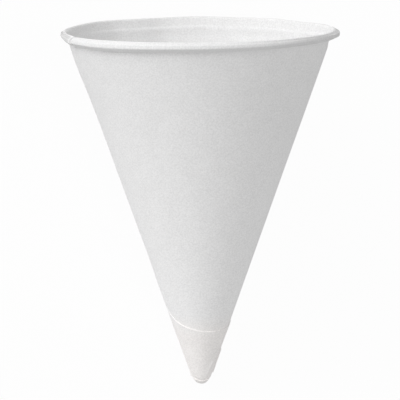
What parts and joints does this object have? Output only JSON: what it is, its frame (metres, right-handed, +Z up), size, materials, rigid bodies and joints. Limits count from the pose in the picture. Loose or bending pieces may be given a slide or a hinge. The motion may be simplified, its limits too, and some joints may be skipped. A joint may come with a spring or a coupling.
{
  "type": "cone paper cup",
  "caption": "Cone-shaped paper drinking cup, one sheet wound to a point, with a glued side lap, wrapped tip and rolled rim, lying on its side.",
  "frame": {"origin": "on the ground, below the middle of the cup's length and width as it lies on its side", "axes": "+Y towards the mouth, +Z up; the cup's own axis leans 20.1 degrees up from +Y, and its front is turned 30 degrees from straight up towards -X, so that the heavier, lapped side is lower"},
  "size_m": [0.075, 0.1028, 0.0699],
  "materials": {
    "white_paper": "matt uncoated white paper with a faint fibre grain"
  },
  "bodies": {
    "root": {"cone_cup": "white_paper"}
  },
  "joints": []
}
